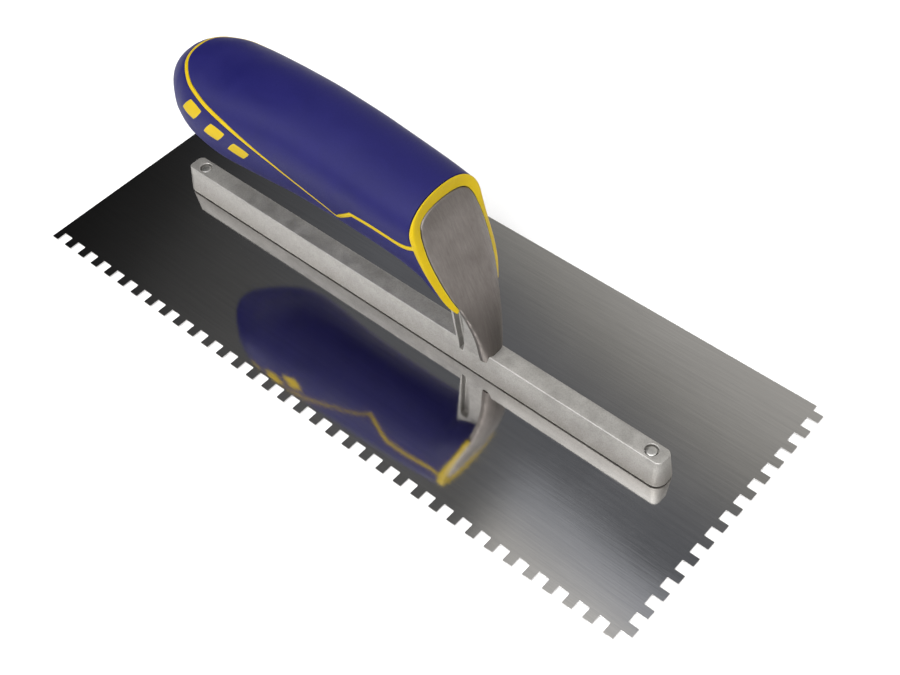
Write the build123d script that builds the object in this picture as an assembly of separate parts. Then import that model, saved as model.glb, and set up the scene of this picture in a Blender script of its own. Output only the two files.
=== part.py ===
from build123d import *
import math
import os

# Notched trowel. X runs along the blade towards its notched short end, Y from the notched long
# edge to the plain one, Z up. The origin is the centre of the blade's underside.

# Blade: spring steel sheet with square notches along one long edge and one short edge
BLADE_LENGTH = 279.4
BLADE_WIDTH = 114.3
BLADE_THICKNESS = 0.7
NOTCH_PITCH = 8.0
NOTCH_GAP = 4.2
NOTCH_DEPTH = 4.1
FIRST_TOOTH = 3.2
CUT_MARGIN = 1.0

# Mounting bar of the casting: a long low bar with drafted sides along the blade's middle
BAR_LENGTH = 229.8
BAR_CENTRE_X = -0.6
BAR_WIDTH = 10.4
BAR_HEIGHT = 11.8
BAR_DRAFT = 7.5
BAR_CORNER = 4.2
BAR_TOP_ROUND = 0.5

# Rivets that show at the ends of the bar, and the blind studs between them
FRONT_RIVET_X = 107.5
REAR_RIVET_X = -109.1
RIVET_DIAMETER = 4.0
RIVET_HEIGHT = 11.2
COUNTERBORE_DIAMETER = 5.5
COUNTERBORE_DEPTH = 1.6
STUD_X = (-60.0, 0.0, 60.0)
STUD_DIAMETER = 5.0
STUD_HEIGHT = 6.0

# Post: a leaning block between the bar and the handle, with a closed recess in each side
POST_REAR_FOOT_X = 27.05
POST_LEAN = 0.125
POST_HALF_WIDTH = 4.0
POST_FOOT_Z = 7.9
POST_HEAD_Z = 54.0
RECESS = (
    (27.8, 7.9),
    (26.4, 20.6),
    (26.0, 25.2),
    (26.5, 27.0),
    (28.2, 26.9),
    (29.6, 25.2),
    (30.3, 21.5),
    (29.5, 7.9),
)
WEB_THICKNESS = 3.0

# Shield: the face in front of the handle. Seen from the front it is an egg with its point down
SHIELD_SIDE = (
    (5.0, 9.3),
    (5.25, 13.0),
    (6.1, 20.0),
    (9.1, 36.0),
    (12.65, 52.0),
    (13.27, 60.0),
    (12.75, 67.5),
    (10.9, 71.0),
)
SHIELD_TOP_Z = 73.8
SHIELD_FACE = (
    (41.0, 9.3),
    (40.8, 15.0),
    (40.2, 20.0),
    (38.8, 28.0),
    (36.7, 36.0),
    (33.7, 44.0),
    (30.5, 52.0),
    (27.4, 60.0),
    (24.4, 68.0),
    (22.0, 74.0),
    (16.0, 90.0),
)
SHIELD_THICKNESS = 3.0

# Tang: the flat tongue of the casting inside the handle, and the cross pin that holds the core
TANG_WIDTH = 9.0
TANG_HEIGHT = 13.0
TANG_FRONT = (24.0, 56.0)
TANG_REAR = (-60.0, 62.0)
PIN_X = -30.0
PIN_DIAMETER = 4.0
PIN_LENGTH = 24.0

# Handle sections: x, height of the widest line, half-width, rise above it and drop below it
HANDLE_SECTIONS = (
    (-106.1, 64.3, 2.3, 2.1, 1.6),
    (-104.3, 64.3, 5.4, 5.4, 3.5),
    (-101.3, 64.6, 8.8, 9.5, 5.8),
    (-96.3, 65.3, 13.0, 13.8, 9.2),
    (-90.3, 65.7, 16.8, 16.4, 12.8),
    (-80.3, 65.7, 20.1, 17.8, 17.7),
    (-65.3, 66.8, 20.5, 17.6, 22.9),
    (-50.3, 68.8, 19.3, 16.9, 25.9),
    (-35.3, 70.3, 18.3, 15.7, 27.2),
    (-20.3, 70.5, 17.8, 14.4, 27.6),
    (-5.3, 69.8, 17.4, 13.0, 27.4),
    (9.7, 68.7, 17.0, 11.8, 26.8),
    (20.0, 67.9, 16.3, 11.1, 27.0),
    (29.0, 66.2, 15.8, 10.7, 29.5),
    (38.0, 63.8, 15.0, 10.2, 31.2),
)
SECTION_POWER_TOP = 2.2
SECTION_POWER_BOTTOM = 1.95
SECTION_POINTS = 20
LEAST_CORE_SIZE = 1.5

# Collar and rib of the core: the two places where it reaches the handle's outside
COLLAR_SET_BACK = 0.8
COLLAR_LENGTH = 3.3
COLLAR_FLARE = 1.7
EAR_FOOT_Z = 35.8
EAR_HEAD_Z = 60.0
GRIP_THICKNESS = 3.0
RIB_REAR = (
    (-98.0, 85.0),
    (-92.8, 81.3),
    (-88.5, 79.6),
    (-75.7, 76.6),
    (-53.0, 71.8),
    (-36.0, 65.8),
    (-14.2, 55.9),
)
RIB_STEP = (-4.9, 63.9)
RIB_FRONT = (34.0, 63.2)
RIB_WIDTH = 1.8

# Pocket in the handle's underside where the post comes out
POCKET_HALF_WIDTH = 6.0
POCKET_TOP_Z = 42.0

# Wider than anything on the trowel, for prisms that are trimmed afterwards
REACH = 40.0


def blade():
    """Steel sheet with its two notched edges."""
    sheet = Pos(0, 0, BLADE_THICKNESS / 2) * Box(BLADE_LENGTH, BLADE_WIDTH, BLADE_THICKNESS)
    left = -BLADE_LENGTH / 2
    right = BLADE_LENGTH / 2
    near = -BLADE_WIDTH / 2
    far = BLADE_WIDTH / 2
    notches = []
    x = left + FIRST_TOOTH
    while x < right:
        end = min(x + NOTCH_GAP, right + CUT_MARGIN)
        notches.append((x, near - CUT_MARGIN, end, near + NOTCH_DEPTH))
        x += NOTCH_PITCH
    y = near + NOTCH_DEPTH + NOTCH_PITCH - NOTCH_GAP
    while y < far:
        end = min(y + NOTCH_GAP, far + CUT_MARGIN)
        notches.append((right - NOTCH_DEPTH, y, right + CUT_MARGIN, end))
        y += NOTCH_PITCH
    cutters = [
        Pos((x0 + x1) / 2, (y0 + y1) / 2, BLADE_THICKNESS / 2)
        * Box(x1 - x0, y1 - y0, BLADE_THICKNESS + CUT_MARGIN)
        for x0, y0, x1, y1 in notches
    ]
    return sheet - cutters


def bar():
    """Mounting bar with rounded corners, drafted sides, a softened top edge and its stud holes."""
    foot = Plane.XY.offset(BLADE_THICKNESS) * RectangleRounded(BAR_LENGTH, BAR_WIDTH, BAR_CORNER)
    body = extrude(foot, BAR_HEIGHT, taper=BAR_DRAFT)
    body = fillet(body.faces().sort_by(Axis.Z)[-1].edges(), BAR_TOP_ROUND)
    body = Pos(BAR_CENTRE_X, 0, 0) * body
    top = BLADE_THICKNESS + BAR_HEIGHT
    for x in (FRONT_RIVET_X, REAR_RIVET_X):
        body -= upright_pin(x, RIVET_DIAMETER, BAR_HEIGHT)
        body -= Pos(x, 0, top - COUNTERBORE_DEPTH / 2) * Cylinder(
            COUNTERBORE_DIAMETER / 2, COUNTERBORE_DEPTH
        )
    for x in STUD_X:
        body -= upright_pin(x, STUD_DIAMETER, STUD_HEIGHT)
    return body


def upright_pin(x, diameter, height):
    """Round pin standing on the blade at x."""
    return Pos(x, 0, BLADE_THICKNESS + height / 2) * Cylinder(diameter / 2, height)


def side_solid(points, half_width):
    """Prism across the trowel whose outline in the XZ plane goes through the points."""
    outline = Plane.XZ * make_face(Polyline(*points, close=True))
    return extrude(outline, half_width, both=True)


def slab_behind_face(set_back, depth):
    """Everything from the shield's face line, moved back, to the same line depth further back."""
    front = [(x - set_back, z) for x, z in SHIELD_FACE]
    back = [(x - depth, z) for x, z in front]
    front_line = Spline(*front)
    back_line = Spline(*reversed(back))
    top = Line(front[-1], back[-1])
    bottom = Line(back[0], front[0])
    outline = make_face([front_line, top, back_line, bottom])
    return extrude(Plane.XZ * outline, REACH, both=True)


def egg_prism(flare=0):
    """The shield's outline as seen from the front, or that outline widened, as a prism along X."""
    right = [(half + flare, z) for half, z in SHIELD_SIDE]
    left = [(-half, z) for half, z in reversed(right)]
    outline = make_face([Spline(*right, (0, SHIELD_TOP_Z), *left), Line(left[-1], right[0])])
    return extrude(Plane.YZ * outline, REACH + BAR_WIDTH)


def shield():
    """Face plate that closes the front of the handle and narrows down to the bar."""
    return slab_behind_face(0, SHIELD_THICKNESS) & egg_prism()


def post_rear_x(z):
    """X of the post's leaning rear face at a height."""
    return POST_REAR_FOOT_X - POST_LEAN * (z - POST_FOOT_Z)


def post():
    """Leaning block that stands in the bar and carries the shield and the tang."""
    front = [
        (x - SHIELD_THICKNESS / 2, z) for x, z in SHIELD_FACE if z < POST_HEAD_Z
    ]
    front_foot = (front[0][0], POST_FOOT_Z)
    rear_foot = (POST_REAR_FOOT_X, POST_FOOT_Z)
    front_head = (front[-1][0], POST_HEAD_Z)
    rear_head = (post_rear_x(POST_HEAD_Z), POST_HEAD_Z)
    outline = [rear_foot, front_foot, *front, front_head, rear_head]
    return side_solid(outline, POST_HALF_WIDTH)


def recesses():
    """The hollow in each side of the post and the bar, which leaves a thin web between them."""
    return side_solid(RECESS, BAR_WIDTH) - side_solid(RECESS, WEB_THICKNESS / 2)


def tang():
    """Tongue that runs back inside the handle, with the hole for the cross pin."""
    half = TANG_HEIGHT / 2
    front_x, front_z = TANG_FRONT
    rear_x, rear_z = TANG_REAR
    return side_solid(
        [
            (rear_x, rear_z - half),
            (front_x, front_z - half),
            (front_x, front_z + half),
            (rear_x, rear_z + half),
        ],
        TANG_WIDTH / 2,
    )


def cross_pin():
    """Steel pin through the core and the tang."""
    front_x, front_z = TANG_FRONT
    rear_x, rear_z = TANG_REAR
    z = front_z + (rear_z - front_z) * (front_x - PIN_X) / (front_x - rear_x)
    return Pos(PIN_X, 0, z) * Rot(90, 0, 0) * Cylinder(PIN_DIAMETER / 2, PIN_LENGTH)


def shank_casting():
    """The one die-cast piece: bar, post, shield and tang."""
    return bar() + post() - recesses() + shield() + tang() - cross_pin()


def section(x, wide_z, half, rise, drop):
    """One closed section of the handle in the plane at x."""
    points = []
    for i in range(SECTION_POINTS):
        angle = 2 * math.pi * i / SECTION_POINTS
        across = math.cos(angle)
        upward = math.sin(angle)
        power = 2 / (SECTION_POWER_TOP if upward >= 0 else SECTION_POWER_BOTTOM)
        height = rise if upward >= 0 else drop
        y = half * math.copysign(abs(across) ** power, across)
        z = height * math.copysign(abs(upward) ** power, upward)
        points.append((x, y, wide_z + z))
    return make_face(Spline(*points, periodic=True))


def handle_body(inset):
    """The handle's whole outer form, or that form shrunk by the inset."""
    sections = [
        section(x, wide_z, half - inset, rise - inset, drop - inset)
        for x, wide_z, half, rise, drop in HANDLE_SECTIONS
        if min(half, rise, drop) > LEAST_CORE_SIZE * inset
    ]
    return loft(sections)


def rib_slab():
    """Band across the handle whose edge shows as the line between the two grips."""
    path = [Spline(*RIB_REAR), Polyline(RIB_REAR[-1], RIB_STEP, RIB_FRONT)]
    band = trace(path, line_width=RIB_WIDTH)
    return extrude(Plane.XZ * band, REACH, both=True)


def post_pocket():
    """Space in the handle's underside round the post."""
    width = 2 * POCKET_HALF_WIDTH
    rear_x = post_rear_x(POCKET_TOP_Z)
    length = REACH + BAR_WIDTH - rear_x
    return Pos(rear_x + length / 2, 0, POCKET_TOP_Z / 2) * Box(length, width, POCKET_TOP_Z)


def ears():
    """The collar's two lower ends, which run down behind the shield's edges."""
    height = EAR_HEAD_Z - EAR_FOOT_Z
    band = Pos(REACH / 2, 0, EAR_FOOT_Z + height / 2) * Box(REACH, 2 * REACH, height)
    return slab_behind_face(COLLAR_SET_BACK, COLLAR_LENGTH) & egg_prism(COLLAR_FLARE) & band


def handle_core(outer, casting, pin):
    """Hard core: the inner body, the collar behind the shield and the rib along each side."""
    inner = handle_body(GRIP_THICKNESS)
    behind_plate = slab_behind_face(COLLAR_SET_BACK, BLADE_LENGTH)
    collar = (outer & slab_behind_face(COLLAR_SET_BACK, COLLAR_LENGTH)) + ears()
    rib = outer & rib_slab() & behind_plate
    body = (inner & behind_plate) + collar + rib
    return body - post_pocket() - casting - pin


def grip_panels(outer, casting):
    """Upper and lower soft panels: what the core leaves of the handle's outer form."""
    behind_collar = slab_behind_face(COLLAR_SET_BACK + COLLAR_LENGTH, BLADE_LENGTH)
    shell = (outer & behind_collar) - handle_body(GRIP_THICKNESS) - rib_slab()
    shell = shell - post_pocket() - casting
    smaller, larger = shell.solids().sort_by(SortBy.VOLUME)[-2:]
    lower, upper = sorted((smaller, larger), key=lambda panel: panel.center().Z)
    return upper, lower


def save(name, shape):
    """Write one sub-part."""
    export_step(shape, f"parts/{name}.step")


def main():
    os.makedirs("parts", exist_ok=True)
    casting = shank_casting()
    pin = cross_pin()
    outer = handle_body(0)
    core = handle_core(outer, casting, pin)
    upper, lower = grip_panels(outer, casting)
    save("blade", blade())
    save("shank_casting", casting)
    save("front_rivet", upright_pin(FRONT_RIVET_X, RIVET_DIAMETER, RIVET_HEIGHT))
    save("rear_rivet", upright_pin(REAR_RIVET_X, RIVET_DIAMETER, RIVET_HEIGHT))
    for number, x in enumerate(STUD_X, start=1):
        save(f"hidden_stud_{number}", upright_pin(x, STUD_DIAMETER, STUD_HEIGHT))
    save("handle_core", core)
    save("grip_upper", upper)
    save("grip_lower", lower)
    save("core_pin", pin)


if __name__ == "__main__":
    main()
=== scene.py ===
import math

import bmesh
import bpy
import numpy as np
from mathutils import Matrix, Vector


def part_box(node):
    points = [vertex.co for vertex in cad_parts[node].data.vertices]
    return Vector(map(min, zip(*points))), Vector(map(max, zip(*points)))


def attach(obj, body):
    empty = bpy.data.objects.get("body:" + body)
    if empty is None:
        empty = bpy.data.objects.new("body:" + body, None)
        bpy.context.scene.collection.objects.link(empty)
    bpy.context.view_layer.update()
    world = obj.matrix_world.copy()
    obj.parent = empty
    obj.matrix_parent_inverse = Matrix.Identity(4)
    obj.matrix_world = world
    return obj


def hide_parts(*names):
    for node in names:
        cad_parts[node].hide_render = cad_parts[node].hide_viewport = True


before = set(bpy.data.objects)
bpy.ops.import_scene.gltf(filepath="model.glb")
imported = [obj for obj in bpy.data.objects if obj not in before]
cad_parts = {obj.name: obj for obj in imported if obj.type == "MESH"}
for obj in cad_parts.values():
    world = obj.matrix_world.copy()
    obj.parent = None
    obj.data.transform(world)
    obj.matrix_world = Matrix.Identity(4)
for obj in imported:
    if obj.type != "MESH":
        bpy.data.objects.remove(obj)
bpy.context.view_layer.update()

# Lengths below are in millimetres, in the CAD frame: X towards the notched short end, Y from the
# notched long edge to the plain one, Z up. Meshes are scaled to metres when they are made.
MM = 0.001
BODY = "root"


def box_mm(node):
    """Lowest and highest corner of a CAD node, in millimetres."""
    low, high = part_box(node)
    return low / MM, high / MM


BLADE_LOW, BLADE_HIGH = box_mm("blade")
CASTING_LOW, CASTING_HIGH = box_mm("shank_casting")
RIVETS = [box_mm(node) for node in ("front_rivet", "rear_rivet")]

# Blade
NOTCH_PITCH = 8.0
NOTCH_GAP = 4.2
NOTCH_DEPTH = 4.1
FIRST_TOOTH = 3.2
TOOTH_ROUND = 0.3
BLADE_EDGE = 0.07

# Mounting bar
BAR_FOOT = BLADE_HIGH.z
BAR_HALF_WIDTH = 5.2
BAR_TOP = 12.5
BAR_SLOPE = math.tan(math.radians(7.5))
BAR_FOOT_CORNER = 4.2
BAR_TOP_CORNER = 2.1
BAR_FRONT_REACH = 0.6
BAR_REAR_REACH = 1.6
BAR_TOP_ROUND = 0.4
BAR_GAP = 0.55
BAR_FOOT_PULL = 0.85
BAR_FOOT_STEP = 0.3
BAR_LIP_HEIGHT = 0.15
COUNTERBORE_RADIUS = 2.45
COUNTERBORE_DEPTH = 1.6
COUNTERBORE_CHAMFER = 0.18

# Rivet head: (share of the shank's radius, height over the CAD's head)
RIVET_PROFILE = (
    (1.0, -0.45), (1.02, -0.25), (0.98, -0.08), (0.9, 0.0), (0.55, 0.04), (0.2, 0.06), (0.0, 0.06),
)

# Post between the bar and the handle
POST_HALF_WIDTH = 4.0
POST_FOOT_Z = 6.0
POST_HEAD_Z = 50.0
POST_SET_BACK = 0.6
POST_FRONT_HEIGHTS = (POST_FOOT_Z, 12, 20, 30, 40, POST_HEAD_Z)
POST_VOXEL = 0.2
RIM_LEAN = 0.125
WEB_HALF_WIDTH = 1.5
RIM_REAR_FOOT = (27.05, 7.9)
SLOT = (
    (27.8, 7.9), (27.1, 13.7), (26.4, 20.6), (25.8, 27.0), (25.2, 32.0), (25.4, 34.3), (27.0, 34.9),
    (28.6, 34.0), (29.7, 29.0), (30.3, 21.5), (30.1, 15.0), (29.5, 7.9),
)

# Shield: half-width by height, the X of its edge by height, and the rise of its crowned middle
SHIELD_SIDE = (
    (4.6, 9.3), (5.25, 13.0), (6.1, 20.0), (7.45, 28.0), (9.1, 36.0), (11.3, 44.0), (12.65, 52.0),
    (13.27, 60.0), (12.75, 67.5), (11.9, 70.0),
)
SHOULDER_BULGE = 0.62
SHIELD_TOP_Z = 73.8
EDGE_LINE = (
    (39.6, 7.5), (39.6, 15.0), (39.3, 20.0), (38.0, 28.0), (35.9, 36.0), (32.9, 44.0), (29.8, 52.0),
    (26.7, 60.0), (23.7, 68.0), (21.3, 74.0), (15.0, 90.0),
)
CROWN_FOOT = 2.4
CROWN_HEAD = 1.0
CROWN_REACH = 7.0
CROWN_FOOT_REACH = 3.6
CROWN_REACH_GROWTH = 8.0
CROWN_POWER = 2.2
SHIELD_EDGE_ROUND = 0.6
SHIELD_THICKNESS = 1.8

# Handle sections: x, height of the widest line, half-width, rise above it, drop below it, and the
# power of the lower half's superellipse, which squares off towards the post
HANDLE_SECTIONS = (
    (-106.2, 64.0, 0.0, 0.0, 0.0, 2.0),
    (-105.3, 64.0, 3.5, 3.2, 1.8, 2.0),
    (-100.3, 64.8, 9.8, 10.7, 6.4, 2.0),
    (-95.3, 65.5, 13.7, 14.5, 9.9, 2.0),
    (-90.3, 65.7, 16.9, 16.5, 12.8, 2.0),
    (-80.3, 65.6, 20.2, 17.8, 17.7, 2.0),
    (-70.3, 66.1, 20.8, 17.7, 21.6, 2.0),
    (-60.3, 67.4, 20.1, 17.5, 24.1, 2.0),
    (-50.3, 68.8, 19.3, 16.9, 25.9, 2.0),
    (-35.3, 70.3, 18.3, 15.8, 27.2, 2.0),
    (-20.3, 70.5, 17.8, 14.4, 27.6, 2.0),
    (-5.3, 69.8, 17.4, 13.0, 27.4, 2.0),
    (9.7, 68.7, 17.0, 11.8, 26.8, 2.1),
    (20.0, 67.9, 16.3, 11.1, 27.0, 2.5),
    (28.0, 66.4, 15.8, 10.8, 30.0, 3.0),
    (38.0, 63.8, 15.0, 10.2, 31.6, 3.4),
)
TOP_POWER = 2.17
TIP_X = HANDLE_SECTIONS[0][0]

# Collar and the line between the two grips
COLLAR_REAR_LINE = (
    (34.5, 34), (31.8, 42), (28.8, 49), (25.5, 56), (22.8, 63), (21.4, 69), (20.9, 74.5),
    (20.4, 80), (20, 90),
)
COLLAR_SET_BACK = 0.35
COLLAR_SEAM = 0.35
COLLAR_CENTRE_Z = 58.0
COLLAR_CORNER_WEIGHT = 2.4
COLLAR_WALL = 2.6
SHIELD_GAP = 0.3
SHIELD_GAP_DEPTH = 0.9
EAR_Z = 37.4
EAR_STEPS = ((0.97, 0.25), (0.88, 0.5), (0.68, 0.72), (0.4, 0.82))  # (scale, push) of each end ring
LEAN_Z = 66.5
LEAN_START = -45.0
LINE_REAR = (
    (-92.8, 81.3), (-91.0, 80.4), (-88.5, 79.6), (-84.2, 78.5), (-75.7, 76.6), (-64.9, 74.7),
    (-53.0, 71.8), (-42.2, 68.2), (-36.0, 65.8), (-26.6, 62.3), (-17.8, 58.4), (-14.2, 55.9),
)
LINE_STEP = (-4.9, 63.9)
LINE_FRONT = ((2.6, 64.1), (11.3, 63.5), (16.5, 62.9), (19.2, 63.2), (22.5, 64.6))
LINE_WIDTHS = (
    (-106, 1.5), (-60, 1.4), (-50, 1.1), (-40, 0.8), (-28, 0.55), (-17, 0.55), (-13, 1.5),
    (25, 1.7),
)
LINE_TAIL_END = -60.0
LINE_NOTCH_START = -18.0
# The line is moved across itself behind this blend, and up or down in front of it
LINE_BLEND_START = -72.0
LINE_BLEND_LENGTH = 20.0
# Across the line's strip: share of its width and depth below the handle's surface
LINE_SHARES = (0.0, 0.0, 0.08, 0.22, 0.5, 0.78, 0.92, 1.0, 1.0)
LINE_DEPTHS = (1.4, 0.16, 0.03, -0.03, -0.05, -0.03, 0.03, 0.16, 1.4)

# Grips and core
TAIL_END = -85.0
NOTCH_START = -20.0
NOTCH_END = -3.0
GRIP_DEPTH = 2.4
GRIP_EDGE = ((0.0, 0.34), (0.08, 0.16), (0.2, 0.06), (0.4, 0.01), (0.7, 0.0), (9.0, 0.0))
BORDER_STEPS = (0.0, 0.08, 0.2, 0.4, 0.7, 1.1, 1.8)
SEAM_GAP = 0.1
FRONT_REACH = 5.0
TAIL_CLEARANCE = 0.02
TAIL_LEAST = 0.05
# The lower grip's inside draws in towards its tip, over this length and to this least size
TIP_PUSH = 3.0
TIP_LENGTH = 8.0
TIP_LEAST = 0.05
OPEN_BORDER = 0.1
CORE_REAR = -98.0
CORE_REACH = 0.2
CORE_GAP = 0.3

# Marks on the tail
MOTIF_STARTS = (-79.6, -67.8, -57.2)
MOTIF_WIDTH = 7.0
MOTIF_SLANT = -4.4
MOTIF_DROP = 2.2
MOTIF_FALL = 0.1
MOTIF_HEIGHT = 5.9
MOTIF_ROUND = 0.3
MOTIF_RIM_LIFT = 0.03
MOTIF_LIFT = 0.07
MOTIF_DEPTH = 0.3

# Colours, as linear red, green and blue
BLADE_DULL = (0.60, 0.59, 0.58)
BLADE_PALE = (0.68, 0.67, 0.66)
BLADE_STREAK = (0.50, 0.495, 0.495)
CAST_DULL = (0.30, 0.29, 0.275)
CAST_PALE = (0.47, 0.457, 0.438)
CAST_PATCH = (0.51, 0.497, 0.476)
CAST_GRAIN = (0.24, 0.232, 0.22)
CAST_FOOT_DARK = (0.17, 0.15, 0.125)
CAST_WORN = (0.68, 0.67, 0.65)
# The shield's tones are set darker than the bar's, though it is the same casting: painted shade. Its
# foot colour is painted shade too.
SHIELD_SHADED_DULL = (0.19, 0.17, 0.158)
SHIELD_SHADED_PALE = (0.24, 0.218, 0.204)
SHIELD_SHADED_PATCH = (0.25, 0.228, 0.214)
SHIELD_SHADED_LINES = (0.145, 0.128, 0.12)
SHIELD_FOOT_PAINTED_SHADE = (0.075, 0.066, 0.06)
SHIELD_SHADED_WORN = (0.26, 0.24, 0.225)
RUBBER_DULL = (0.0075, 0.007, 0.078)
RUBBER_PALE = (0.0105, 0.0095, 0.094)
RUBBER_RUBBED = (0.014, 0.0125, 0.106)
RUBBER_GRAIN = (0.005, 0.0045, 0.054)
YELLOW_DULL = (0.45, 0.315, 0.004)
YELLOW_PALE = (0.53, 0.375, 0.007)
YELLOW_EDGE = (0.62, 0.52, 0.05)
RIVET_DULL = (0.50, 0.49, 0.47)
RIVET_PALE = (0.66, 0.65, 0.63)
FLOOR_DULL = (0.96, 0.96, 0.96)
FLOOR_PALE = (0.98, 0.98, 0.98)
WORN_EDGE = 0.0004
NOISE_LOW = 0.3
NOISE_HIGH = 0.7

# Camera, in metres, degrees and millimetres of lens
CAMERA_PLACE = (0.25049, -0.22758, 0.38798)
CAMERA_AZIMUTH = 45.46
CAMERA_ELEVATION = 49.84
CAMERA_ROLL = -5.2
CAMERA_LENS = 56.11
CAMERA_SENSOR = 36.0

# Studio, in metres and watts: (name, place, target, size, power)
LIGHTS = (
    ("overhead", (0.1, -0.3, 1.3), (0, 0, 0), (1.2, 1.2), 8),
    ("front", (0.25, -0.8, 1.1), (0, 0, 0), (0.9, 0.9), 11),
    ("side", (-0.9, -0.9, 0.8), (0, 0, 0.03), (0.8, 0.6), 6.5),
)
FLOOR_REACH = 12.0
FLOOR_Z = -0.0002

# Brightness of the studio by direction: (share of the axis, level, warmth)
WALL_LEVELS = (
    (0.0, 0.15, 0), (0.38, 0.13, 0), (0.455, 0.14, -2), (0.48, 0.165, -1), (0.5, 0.21, 0),
    (0.52, 0.3, 1), (0.54, 0.4, 1), (0.57, 0.52, 1), (0.7, 0.75, 1),
)
TAIL_SIDE_LEVELS = (
    (0.0, 1.0, 0), (0.52, 1.0, 0), (0.57, 0.75, 0), (0.61, 0.5, 0), (0.64, 0.22, 0), (0.67, 0.1, 0),
    (0.85, 0.06, 0),
)
SOFTBOX_LEVELS = (
    (0.0, 0.6, 0), (0.36, 0.62, 1), (0.39, 0.52, 1), (0.405, 0.37, -1), (0.42, 0.28, -2),
    (0.432, 0.16, -2), (0.44, 0.0, 0),
)
SOFTBOX_END_LEVELS = ((0.0, 1.15, 0), (0.27, 1.1, 0), (0.36, 0.8, 0), (0.385, 0.1, 0), (0.4, 0.0, 0))
RED_PER_WARMTH = 0.02
BLUE_PER_WARMTH = 0.05


# ---- mesh helpers


def smooth_curve(pairs):
    """Smooth function through (position, value) pairs: a cubic with monotone-limited slopes."""
    at = np.array([p[0] for p in pairs], float)
    value = np.array([p[1] for p in pairs], float)
    step = np.diff(at)
    rate = np.diff(value) / step
    slope = np.zeros(len(at))
    slope[0], slope[-1] = rate[0], rate[-1]
    for i in range(1, len(at) - 1):
        if rate[i - 1] * rate[i] > 0:
            near, far = step[i - 1], step[i]
            weight = (2 * far + near) / rate[i - 1] + (far + 2 * near) / rate[i]
            slope[i] = 3 * (near + far) / weight

    def evaluate(x):
        x = np.clip(x, at[0], at[-1])
        i = np.clip(np.searchsorted(at, x) - 1, 0, len(step) - 1)
        t = (x - at[i]) / step[i]
        h00 = 2 * t**3 - 3 * t**2 + 1
        h10 = t**3 - 2 * t**2 + t
        h01 = -2 * t**3 + 3 * t**2
        h11 = t**3 - t**2
        start = h00 * value[i] + h10 * step[i] * slope[i]
        return start + h01 * value[i + 1] + h11 * step[i] * slope[i + 1]

    return evaluate


def place_object(name, data):
    """New object in the scene."""
    thing = bpy.data.objects.new(name, data)
    bpy.context.scene.collection.objects.link(thing)
    return thing


def new_object(name, points, faces, merge=False):
    """Mesh object from points in millimetres, with its normals facing out."""
    mesh = bpy.data.meshes.new(name)
    mesh.from_pydata([Vector(p) * MM for p in points], [], faces)
    bm = bmesh.new()
    bm.from_mesh(mesh)
    if merge:
        bmesh.ops.remove_doubles(bm, verts=bm.verts, dist=1e-7)
        bmesh.ops.dissolve_degenerate(bm, edges=bm.edges, dist=1e-8)
    bmesh.ops.recalc_face_normals(bm, faces=bm.faces)
    bm.to_mesh(mesh)
    bm.free()
    return place_object(name, mesh)


def make_piece(name, points, faces, material, slot, crease=40.0):
    """Mesh object that is a piece of the trowel, riding on the body."""
    piece = new_object(name, points, faces, merge=True)
    finish_piece(piece, material, crease)
    return piece


def finish_piece(piece, material, crease):
    """Smooth shading up to the crease angle, one material, and the body it rides on."""
    mesh = piece.data
    mesh.polygons.foreach_set("use_smooth", [True] * len(mesh.polygons))
    mesh.set_sharp_from_angle(angle=math.radians(crease))
    mesh.materials.clear()
    mesh.materials.append(material)
    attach(piece, BODY)


def apply_modifiers(piece):
    """Bake the modifiers of a piece into its mesh."""
    graph = bpy.context.evaluated_depsgraph_get()
    baked = bpy.data.meshes.new_from_object(piece.evaluated_get(graph))
    piece.modifiers.clear()
    piece.data = baked


def strip_faces(rings, closed):
    """Quads between rings of point numbers."""
    faces = []
    for near, far in zip(rings, rings[1:]):
        count = len(near)
        for i in range(count if closed else count - 1):
            j = (i + 1) % count
            faces.append((near[i], near[j], far[j], far[i]))
    return faces


def loft(rings, capped=True):
    """Points and faces of a skin over rings of equal count, with a flat cap at each end."""
    points = [tuple(p) for ring in rings for p in ring]
    count = len(rings[0])
    numbers = [list(range(i * count, (i + 1) * count)) for i in range(len(rings))]
    faces = strip_faces(numbers, True)
    if capped:
        faces += [tuple(reversed(numbers[0])), tuple(numbers[-1])]
    return points, faces


def rounded_rectangle(half_x, half_y, radius, steps=8):
    """Corner-rounded rectangle about the origin, anticlockwise."""
    outline = []
    for corner in range(4):
        turn = corner * math.pi / 2
        centre_x = (half_x - radius) * (1 if corner in (0, 3) else -1)
        centre_y = (half_y - radius) * (1 if corner in (0, 1) else -1)
        for i in range(steps + 1):
            angle = turn + i / steps * math.pi / 2
            outline.append((centre_x + radius * math.cos(angle), centre_y + radius * math.sin(angle)))
    return outline


def lathe(profile, centre_x, steps=48):
    """Rings about an upright axis at centre_x for a profile of (radius, z)."""
    turns = [2 * math.pi * i / steps for i in range(steps)]
    return [[(r * math.cos(a) + centre_x, r * math.sin(a), z) for a in turns] for r, z in profile]


# ---- curves of the object


def section_curve(column, power=1):
    """One column of the handle's sections over X, raised to a power."""
    return smooth_curve([(row[0], row[column] ** power) for row in HANDLE_SECTIONS])


wide_at = section_curve(1)
half_square, rise_square, drop_square = (section_curve(column, 2) for column in (2, 3, 4))
low_power = section_curve(5)
face_edge = smooth_curve([(z, x) for x, z in EDGE_LINE])
collar_rear = smooth_curve([(z, x) for x, z in COLLAR_REAR_LINE])
rear_line = smooth_curve(LINE_REAR)
front_line = smooth_curve([LINE_STEP, *LINE_FRONT])
line_width = smooth_curve(LINE_WIDTHS)
edge_drop = smooth_curve(GRIP_EDGE)

COLLAR = float(collar_rear(np.array(LEAN_Z)))
GRIP_FRONT = COLLAR - COLLAR_SEAM
TAIL_CROSSING = LINE_REAR[0][0]


# ---- materials


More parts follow.
